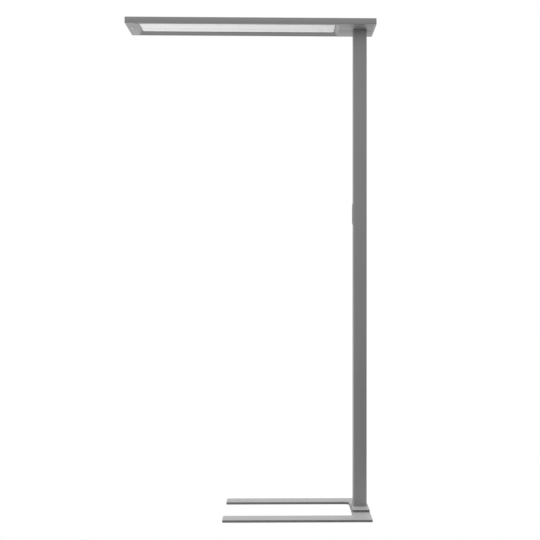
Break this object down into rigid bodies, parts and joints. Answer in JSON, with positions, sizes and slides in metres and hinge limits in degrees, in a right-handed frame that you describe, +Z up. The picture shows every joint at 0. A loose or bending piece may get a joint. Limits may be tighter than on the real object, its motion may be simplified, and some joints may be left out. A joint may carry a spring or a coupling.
{
  "type": "office floor lamp",
  "caption": "Free-standing office floor lamp: long flat head with a recessed diffuser on a rectangular pole, push-button side panel, U-shaped floor plate.",
  "frame": {"origin": "on the floor under the pole's axis, at the middle of the pad there", "axes": "+Z up along the pole; the head and the floor plate's arms run from the pole towards -X; -Y is the front"},
  "size_m": [0.99, 0.362, 1.95],
  "materials": {
    "steel_paint": "fine satin powder coat, silver grey",
    "anodised": "satin anodised, silver grey",
    "inner_aluminium": "mill finish",
    "zinc_steel": "zinc plated",
    "dark_steel": "blackened",
    "black_rubber": "matte",
    "black_plastic": "matte moulded",
    "grey_plastic": "satin moulded, silver grey",
    "white_plastic": "satin moulded",
    "opal": "opal diffuser, satin",
    "prismatic": "fine micro-prism diffuser",
    "clear_acrylic": "clear, polished edges",
    "circuit_board": "green solder mask",
    "white_board": "white solder mask",
    "lead_sheath": "flexible sheath"
  },
  "bodies": {
    "lamp": {"base_plate": "steel_paint", "floor_pads": "black_rubber", "foot_block": "steel_paint", "foot_stub": "inner_aluminium", "plate_screws": "zinc_steel", "stub_bolts": "zinc_steel", "pole": "anodised", "foot_grub_screws": "dark_steel", "head_grub_screws": "dark_steel", "inlet_gland": "black_plastic", "inlet_nut": "black_plastic", "inner_lead": "lead_sheath", "control_panel": "grey_plastic", "panel_screws": "zinc_steel", "control_frame": "black_plastic", "control_board": "circuit_board", "control_lead": "lead_sheath", "front_rail": "anodised", "rear_rail": "anodised", "left_rail": "anodised", "right_rail": "anodised", "corner_keys": "inner_aluminium", "sensor_plate": "anodised", "light_frame": "anodised", "front_cover": "anodised", "rear_cover": "anodised", "mid_diffuser": "prismatic", "front_diffuser": "opal", "rear_diffuser": "opal", "light_guide": "clear_acrylic", "reflector": "white_plastic", "front_led_strip": "white_board", "rear_led_strip": "white_board", "carrier_plate": "inner_aluminium", "upper_led_boards": "white_board", "upper_diffuser": "opal", "top_cover": "anodised", "top_screws": "zinc_steel", "head_bracket": "inner_aluminium", "bracket_screws": "zinc_steel", "led_driver": "white_plastic", "dimmer_module": "black_plastic", "sensor_bezel": "black_plastic", "sensor_lens": "white_plastic", "daylight_sensor": "white_plastic", "sensor_board": "circuit_board", "sensor_lead": "lead_sheath"},
    "up_key": {"button_up": "white_plastic"},
    "power_key": {"button_power": "white_plastic"},
    "down_key": {"button_down": "white_plastic"}
  },
  "joints": [
    {"name": "up_press", "type": "slide", "parent": "lamp", "child": "up_key", "axis": [1, 0, 0], "range_m": [0, 0.0006], "stiffness_N_per_m": 1500},
    {"name": "power_press", "type": "slide", "parent": "lamp", "child": "power_key", "axis": [1, 0, 0], "range_m": [0, 0.0006], "stiffness_N_per_m": 1500},
    {"name": "down_press", "type": "slide", "parent": "lamp", "child": "down_key", "axis": [1, 0, 0], "range_m": [0, 0.0006], "stiffness_N_per_m": 1500}
  ]
}
